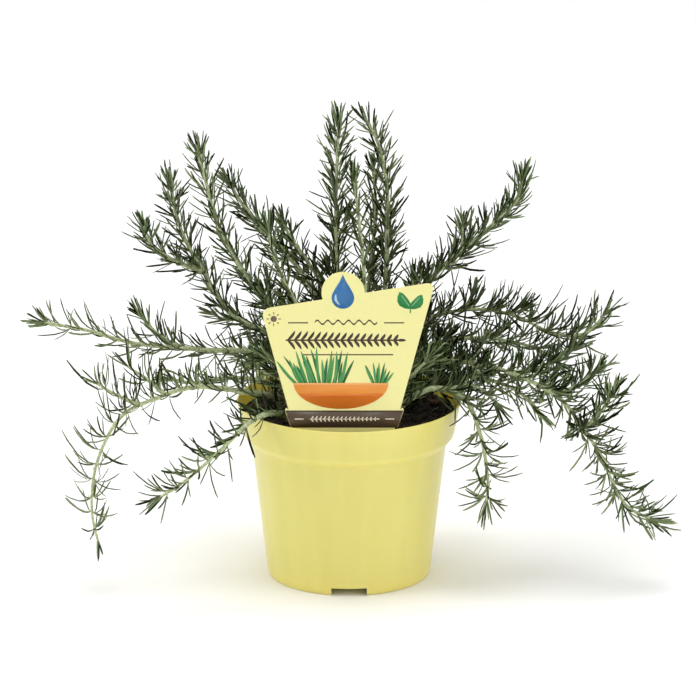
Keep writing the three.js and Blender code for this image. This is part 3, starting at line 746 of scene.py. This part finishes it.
def needles_mesh(leaves, prototype):
    """All needles of a shoot: the prototype is bent along each leaf's own line."""
    points, faces = prototype
    t = points[:, 2]
    keys = ("head", "bend", "up", "width", "tint")
    head, bend, up, width, tint = (leaf_column(leaves, key) for key in keys)
    tangent = unit(head[:, None] + bend[:, None] * t[None, :, None])
    side = unit(np.cross(tangent, up[:, None]))
    over = np.cross(side, tangent)
    vertices = leaf_lines(leaves, t) + side * (points[:, 0][None, :, None] * width[:, None, None])
    vertices = vertices + over * (points[:, 1][None, :, None] * width[:, None, None])
    upper = np.clip(points[:, 1] * 8 + 0.35, 0, 1)  # 0 on the pale lower side, 1 on the dark upper side
    look = np.stack(np.broadcast_arrays(upper[None], tint[:, None], t[None], np.ones((1, 1))), axis=-1)
    corners, starts = repeated_faces(faces, len(points), len(leaves))
    return vertices.reshape(-1, 3), corners, starts, look.reshape(-1, 4)


LEAF_HALF = 0.0006  # how far a leaf's middle line lies above what it rests on
POT_CLEARANCE = 0.0010  # from a leaf's middle line to the pot's outside
LEAF_CLEARANCE = 0.0012  # to the pot's inside and to the card's back
CARD_MARGIN = 0.002  # above and beside the card
CARD_BELOW_RIM = 0.010
FLOOR_CLEARANCE = 0.004


def clear_of_holder(leaves):
    """The leaves whose middle lines stay out of the pot, the compost and the floor, and behind the label."""
    x, y, z = np.moveaxis(leaf_lines(leaves, np.linspace(0.1, 1, 8)), -1, 0)
    radius = np.hypot(x, y)
    outside = np.interp(z, OUTSIDE_HEIGHTS, OUTSIDE_RADII)
    in_pot = (z < RIM_Z + LEAF_HALF) & (radius < outside + POT_CLEARANCE)
    in_headspace = (z > SOIL_TOP + LEAF_HALF) & (radius < RIM_RADIUS - POT_WALL - LEAF_CLEARANCE)
    beside_card = (z < LABEL_HIGH.z + CARD_MARGIN) & (z > RIM_Z - CARD_BELOW_RIM)
    beside_card = beside_card & (np.abs(x) < LABEL_HIGH.x + CARD_MARGIN)
    past_card = beside_card & (y < LABEL_HIGH.y + LEAF_CLEARANCE)
    crossed = past_card | (in_pot & ~in_headspace) | (z < FLOOR_CLEARANCE)
    return [leaf for leaf, bad in zip(leaves, crossed.any(axis=1)) if not bad]


def direction(axis, across, angle):
    return axis * math.cos(angle) + across * math.sin(angle)


def leaf(draw, root, head, face, habit, length, width, age):
    """One leaf: where it springs, its heading, its bend, where its upper side faces, its size and tint."""
    bend = np.array((0.0, 0.0, habit["lift"])) + np.array([draw.gauss(0, habit["curl"]) for _ in range(3)])
    bend = bend - head * bend.dot(head)
    up = face - head * face.dot(head) + np.array([draw.gauss(0, 0.25) for _ in range(3)])
    tint = 0.3 * age + draw.uniform(0.0, 0.62)
    return {"root": root, "head": head, "bend": bend, "up": up, "length": length, "width": width,
            "tint": tint}


def axil_tuft(draw, place, heading, radial, habit, size, age):
    """The short side shoot in a leaf's axil: a little brush of smaller leaves round its own axis."""
    axis = direction(heading, radial, math.radians(draw.uniform(28, 48)))
    axis = unit(axis + np.array((0, 0, habit["lift"] * 0.3)))
    across = unit(np.cross(axis, heading + 0.01))
    other = np.cross(axis, across)
    made = []
    for number in range(habit["tuft"] + draw.choice((-1, 0, 0, 1))):
        round_axis = number * SPIRAL_TURN + draw.uniform(-0.5, 0.5)
        outwards = direction(across, other, round_axis)
        head = direction(axis, outwards, math.radians(draw.uniform(10, 42)))
        root = place + radial * 0.0008 + axis * draw.uniform(0, 0.0016)
        length = size * draw.uniform(0.42, 0.82)
        width = habit["width"] * draw.uniform(0.6, 0.85)
        made.append(leaf(draw, root, head, axis, habit, length, width, age))
    return made


def leaves_along(draw, path, habit, start):
    """Leaf pairs that cross each other from node to node, with a tuft in each axil and a bud at the tip."""
    leaves, nodes = [], []
    s = start
    turn = draw.uniform(0, math.pi)
    while s < path["length"] - 0.002:
        nodes.append(s)
        share = s / path["length"]
        place, heading, side = frame_at(path, s)
        other = np.cross(heading, side)
        size = habit["leaf"] * np.interp(share, [0.0, 0.8, 1.0], [1.0, 1.0, 0.86])
        spread = math.radians(habit["spread"]) * np.interp(share, [0.0, 0.6, 1.0], [1.15, 1.0, 0.74])
        for half in (0, math.pi):
            angle = turn + half + draw.gauss(0, 0.2)
            radial = direction(side, other, angle)
            head = direction(heading, radial, spread * draw.uniform(0.75, 1.25))
            length = size * draw.uniform(0.70, 1.18)
            width = habit["width"] * draw.uniform(0.85, 1.1)
            leaves.append(leaf(draw, place + radial * 0.0006, head, heading, habit, length, width, share))
            leaves += axil_tuft(draw, place, heading, radial, habit, size, share)
        turn += math.pi / 2 + draw.gauss(0, 0.12)
        s += habit["pitch"] * draw.uniform(0.85, 1.15)
    place, heading, side = frame_at(path, path["length"] - 0.0006)
    other = np.cross(heading, side)
    for number in range(habit["bud"]):
        radial = direction(side, other, number * SPIRAL_TURN)
        head = direction(heading, radial, math.radians(6 + 3.0 * number))
        root = place - heading * 0.0003 * number
        length = habit["leaf"] * draw.uniform(0.55, 0.85)
        width = habit["width"] * draw.uniform(0.8, 1.0)
        leaves.append(leaf(draw, root, head, heading, {**habit, "lift": 0.1}, length, width, 1.0))
    return leaves, nodes


def twig_path(draw, path, s):
    """The line of a short side shoot that springs from distance s and turns upwards."""
    place, heading, side = frame_at(path, s)
    radial = direction(side, np.cross(heading, side), draw.uniform(0, 2 * math.pi))
    radial = unit(radial + np.array((0, 0, 0.5)))
    length = draw.uniform(0.009, 0.019)
    first = unit(direction(heading, radial, math.radians(draw.uniform(40, 60))))
    middle = place + first * length * 0.5
    tip = middle + unit(first + np.array((0, 0, 0.45))) * length * 0.5
    return path_of([tuple(place), tuple(middle), tuple(tip)])


def grow(shoot, number, needles, leaf_material, stem_material):
    name, habit, start, line, forks = shoot
    draw = random.Random(100 + number)
    main = path_of(line)
    leaves, nodes = leaves_along(draw, main, habit, start)
    chunks = [stem_rings(main, habit["foot"], habit, nodes)]
    for path in fork_paths(main, forks):
        fork_leaves, fork_nodes = leaves_along(draw, path, habit, FORK_BARE)
        leaves += fork_leaves
        chunks.append(stem_rings(path, FORK_FOOT_RADIUS, {**habit, "brown": 0}, fork_nodes))
    for _ in range(habit["twigs"]):
        path = twig_path(draw, main, main["length"] * draw.uniform(0.22, 0.7))
        twig_leaves, twig_nodes = leaves_along(draw, path, TWIG, TWIG_BARE)
        leaves += twig_leaves
        chunks.append(stem_rings(path, TWIG["foot"], TWIG, twig_nodes))
    leaves = clear_of_holder(leaves)
    finish_piece(joined_mesh(chunks), f"wood_{name}", stem_material, "stem", f"stem_{name}")
    foliage = joined_mesh([needles_mesh(leaves, needles)])
    finish_piece(foliage, f"needles_{name}", leaf_material, "leaves", f"leaves_{name}")


# ---- printed label ----
INK_DEPTH = 0.00005
CARD_FACE = LABEL_LOW.y
CARD_MIDDLE = -0.0027
# Half widths and heights of the printed band at the card's foot, from its lower edge up.
BAND_SIDE = [(0.0289, 0.1036), (0.0305, 0.1043), (0.0313, 0.1063), (0.0337, 0.1138)]


def ink(name, code, outlines, layer=1):
    """A printed shape: flat closed bodies on the card's face, from outlines of (x, z) points."""
    vertices, faces = [], []
    for number, outline in enumerate(outlines):
        area = sum(x0 * z1 - x1 * z0 for (x0, z0), (x1, z1) in zip(outline, outline[1:] + outline[:1]))
        points = outline if area > 0 else outline[::-1]
        first = len(vertices)
        count = len(points)
        front = CARD_FACE - INK_DEPTH * layer - 0.0000004 * number
        vertices += [(x, front, z) for x, z in points] + [(x, CARD_FACE + 0.00002, z) for x, z in points]
        faces.append([first + i for i in range(count)])
        faces.append([first + count + i for i in reversed(range(count))])
        for i in range(count):
            n = (i + 1) % count
            faces.append([first + n, first + i, first + count + i, first + count + n])
    piece = mesh_piece(np.array(vertices), *flat_faces(faces))
    return finish_piece(piece, name, printed_card("ink_" + name, code), "label")


def leaf_shape(root, tip, width, bow=0.0):
    """A narrow pointed leaf from root to tip; bow moves its middle sideways."""
    x, z = root
    length = math.hypot(tip[0] - x, tip[1] - z)
    along = ((tip[0] - x) / length, (tip[1] - z) / length)
    across = (-along[1], along[0])
    shares = [0.0, 0.15, 0.4, 0.65, 0.85, 1.0]
    halves = [0.18, 0.36, 0.5, 0.46, 0.3, 0.03]
    edge = []
    for sign, order in ((1, range(6)), (-1, range(5, -1, -1))):
        for i in order:
            off = bow * length * math.sin(math.pi * shares[i]) + sign * halves[i] * width
            edge.append((x + along[0] * length * shares[i] + across[0] * off,
                         z + along[1] * length * shares[i] + across[1] * off))
    return edge


def stripe(x0, z0, x1, z1, thick):
    dx, dz = x1 - x0, z1 - z0
    size = math.hypot(dx, dz)
    nx, nz = -dz / size * thick / 2, dx / size * thick / 2
    return [(x0 + nx, z0 + nz), (x1 + nx, z1 + nz), (x1 - nx, z1 - nz), (x0 - nx, z0 - nz)]


def circle(x, z, radius, count=40):
    return [(x + radius * math.cos(2 * math.pi * i / count), z + radius * math.sin(2 * math.pi * i / count))
            for i in range(count)]


def water_drop():
    """A blue drop with a pale gleam on the card's round bump."""
    x, z, radius = -0.0035, 0.1806, 0.0064
    round_part = [(x + radius * math.cos(a), z + radius * math.sin(a))
                  for a in [math.radians(150 + 240 * i / 40) for i in range(41)]]
    neck_right = [(x + 0.0040, z + 0.0062), (x + 0.0018, z + 0.0098)]
    neck_left = [(x - 0.0018, z + 0.0098), (x - 0.0040, z + 0.0062)]
    ink("drop", "#2f6fa8", [round_part + neck_right + [(x, z + 0.0138)] + neck_left])
    gleam = [leaf_shape((x - 0.0040, z + 0.0022), (x - 0.0016, z - 0.0042), 0.0014, -0.18)]
    ink("drop_gleam", "#b9d5e8", gleam, 2)


def leaf_pair_mark():
    """Two green leaves on a short stalk in the card's upper right corner."""
    x, z = 0.0348, 0.1716
    leaves = [leaf_shape((x, z + 0.003), (x - 0.0062, z + 0.0124), 0.0062, 0.12)]
    leaves.append(leaf_shape((x, z + 0.003), (x + 0.0066, z + 0.0108), 0.0058, -0.12))
    leaves.append(stripe(x, z, x, z + 0.005, 0.0007))
    ink("leaf_pair", "#1f8440", leaves)
    veins = [stripe(x - 0.0006, z + 0.0042, x - 0.0050, z + 0.0104, 0.0003)]
    veins.append(stripe(x + 0.0007, z + 0.0041, x + 0.0054, z + 0.0093, 0.0003))
    ink("leaf_pair_veins", "#a9cf9a", veins, 2)


def small_sun():
    """A small brown sun: a disc with eight rays, near the card's left corner."""
    x, z = -0.0428, 0.1682
    rays = [stripe(x + 0.0026 * math.cos(a), z + 0.0026 * math.sin(a), x + 0.0041 * math.cos(a),
                   z + 0.0041 * math.sin(a), 0.0005) for a in [math.pi / 4 * k for k in range(8)]]
    ink("small_sun", "#6b5a48", [circle(x, z, 0.0018)] + rays)


def wave(x0, x1, z, height, turns, thick):
    """A wavy rule, as one outline along its upper edge and back along its lower edge."""
    count = turns * 10
    points = []
    for i in range(count + 1):
        share = i / count
        points.append((x0 + (x1 - x0) * share, z + height * math.sin(2 * math.pi * turns * share)))
    upper = [(x, h + thick / 2) for x, h in points]
    lower = [(x, h - thick / 2) for x, h in points]
    return upper + lower[::-1]


def rules():
    """Brown rules: two dashes with a wavy line between them, and a long straight one lower down."""
    lines = [stripe(-0.0347, 0.1659, -0.0233, 0.1659, 0.0007), stripe(0.0199, 0.1659, 0.0313, 0.1659, 0.0007)]
    lines.append(stripe(-0.0262, 0.1470, 0.0251, 0.1470, 0.0007))
    lines.append(wave(-0.0195, 0.0160, 0.1662, 0.0012, 6, 0.0010))
    ink("rules", "#4b3a2c", lines)


def lying_sprig(name, code, x0, x1, z, reach, width, pairs, layer=1):
    """A sprig lying level: a thin stem with needles on both sides that point forward."""
    shapes = [stripe(x0, z, x1, z, width * 0.55)]
    for number in range(pairs):
        x = x0 + (x1 - x0) * (number + 0.3) / pairs
        size = reach * (1 - 0.4 * number / pairs)
        for sign in (1, -1):
            shapes.append(leaf_shape((x, z), (x + size * 0.75, z + sign * size), width, -0.06 * sign))
    shapes.append(leaf_shape((x1 - 0.0005, z), (x1 + reach * 0.8, z), width))
    ink(name, code, shapes, layer)


def bowl_of_needles():
    """An orange bowl with a bunch of green needles standing in it."""
    draw = random.Random(5)
    middle, half, top, foot = -0.0046, 0.0270, 0.1300, 0.1148
    edge = [(middle + half * math.cos(a), top + (top - foot) * math.sin(a))
            for a in [math.pi + math.pi * i / 30 for i in range(31)]]
    greens = {"dark": [], "light": []}

    def add_blade(number, x, tilt, size, width, bow=0.0):
        tip = (x - math.sin(tilt) * size, top - 0.001 + math.cos(tilt) * size)
        greens["dark" if number % 2 else "light"].append(leaf_shape((x, top - 0.002), tip, width, bow))

    for number in range(26):
        share = number / 25
        tilt = math.radians(38 - 60 * share + draw.uniform(-9, 9))
        size = draw.uniform(0.014, 0.0235) * (1 - 0.25 * abs(share - 0.45))
        add_blade(number, -0.0290 + 0.0250 * share, tilt, size, 0.0017, draw.uniform(-0.04, 0.04))
    for number in range(9):
        tilt = math.radians(30 - 8 * number + draw.uniform(-6, 6))
        add_blade(number, 0.0145 + 0.0006 * number, tilt, draw.uniform(0.009, 0.014), 0.0014)
    ink("needles_dark", "#1e6b35", greens["dark"])
    ink("needles_light", "#4c9a55", greens["light"], 2)
    ink("bowl", "#f39a3f", [edge], 3)
    shade = [(x, z) for x, z in edge if z < top - 0.0058]
    ink("bowl_shade", "#e27a2a", [shade], 4)
    lip = stripe(middle - half, top - 0.0004, middle + half, top - 0.0004, 0.0012)
    ink("bowl_lip", "#f7b069", [lip], 5)


def across_band(z0, z1):
    """The part of the foot band between two heights."""
    halves, heights = zip(*BAND_SIDE)
    levels = [z0] + [z for z in heights if z0 < z < z1] + [z1]
    right = [(CARD_MIDDLE + float(np.interp(z, heights, halves)), z) for z in levels]
    left = [(CARD_MIDDLE - float(np.interp(z, heights, halves)), z) for z in reversed(levels)]
    return right + left


def foot_band():
    """The brown band across the card's foot, with two pale dashes and a small pale sprig."""
    ink("band", "#5c4b3c", [across_band(0.1036, 0.1138)])
    ink("band_edges", "#3a2a12", [across_band(0.1036, 0.1042), across_band(0.1132, 0.1138)], 2)
    z = 0.1087
    pale = [stripe(-0.0310, z, -0.0259, z, 0.0006), stripe(0.0207, z, 0.0258, z, 0.0006)]
    ink("band_dashes", "#f3ead0", pale, 2)
    lying_sprig("band_sprig", "#f3ead0", -0.0225, 0.0160, z, 0.0020, 0.0007, 16, 2)


def plant_label():
    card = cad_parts["plant_label"]
    card.data.materials.clear()
    card.data.materials.append(printed_card("printed_card_pale_yellow", "#f3eda1"))
    water_drop()
    leaf_pair_mark()
    small_sun()
    rules()
    lying_sprig("title_sprig", "#3b2a1c", -0.0360, 0.0280, 0.1556, 0.0056, 0.0017, 17)
    bowl_of_needles()
    foot_band()


# ---- surroundings ----
def studio():
    deselect_all()
    bpy.ops.mesh.primitive_plane_add(size=40)
    floor = bpy.context.object
    floor.name = "floor"
    white, _, shader = new_material("white_studio_floor", 0.9)
    shader.inputs["Base Color"].default_value = srgb("#ffffff")
    floor.data.materials.append(white)

    world = bpy.data.worlds.new("studio_white")
    bpy.context.scene.world = world
    world.use_nodes = True
    world.node_tree.nodes["Background"].inputs["Color"].default_value = (1, 1, 1, 1)
    world.node_tree.nodes["Background"].inputs["Strength"].default_value = 0.60

    for name, place, size, power in (
        ("key", (-2.5, -0.6, 1.7), 1.3, 23),
        ("fill", (2.3, -1.4, 1.2), 1.6, 17),
        ("top", (0.0, 0.2, 2.8), 1.8, 38),
    ):
        light = bpy.data.lights.new(name, "AREA")
        light.energy = power
        light.size = size
        lamp = bpy.data.objects.new(name, light)
        lamp.location = place
        lamp.rotation_euler = (Vector((0, 0, 0.12)) - Vector(place)).to_track_quat("-Z", "Y").to_euler()
        bpy.context.collection.objects.link(lamp)

    bpy.context.scene.view_settings.view_transform = "Standard"


def camera():
    data = bpy.data.cameras.new("camera")
    data.lens = CAMERA_LENS
    data.sensor_width = 36
    data.clip_end = 100
    back = Vector((0, -math.cos(CAMERA_ELEVATION), math.sin(CAMERA_ELEVATION)))
    viewer = bpy.data.objects.new("camera", data)
    viewer.location = CAMERA_TARGET + back * CAMERA_DISTANCE
    viewer.rotation_euler = (-back).to_track_quat("-Z", "Y").to_euler()
    bpy.context.collection.objects.link(viewer)
    bpy.context.scene.camera = viewer


camera()
studio()
nursery_pot()
compost = moist_compost()
potting_compost(compost)
compost_crumbs(compost)
bark_chips(pine_bark())
plant_label()

needles = taken_apart(needle_prototype())
leaf_material = rosemary_needle()
stem_material = rosemary_stem()
for number, shoot in enumerate(SHOOTS):
    grow(shoot, number, needles, leaf_material, stem_material)
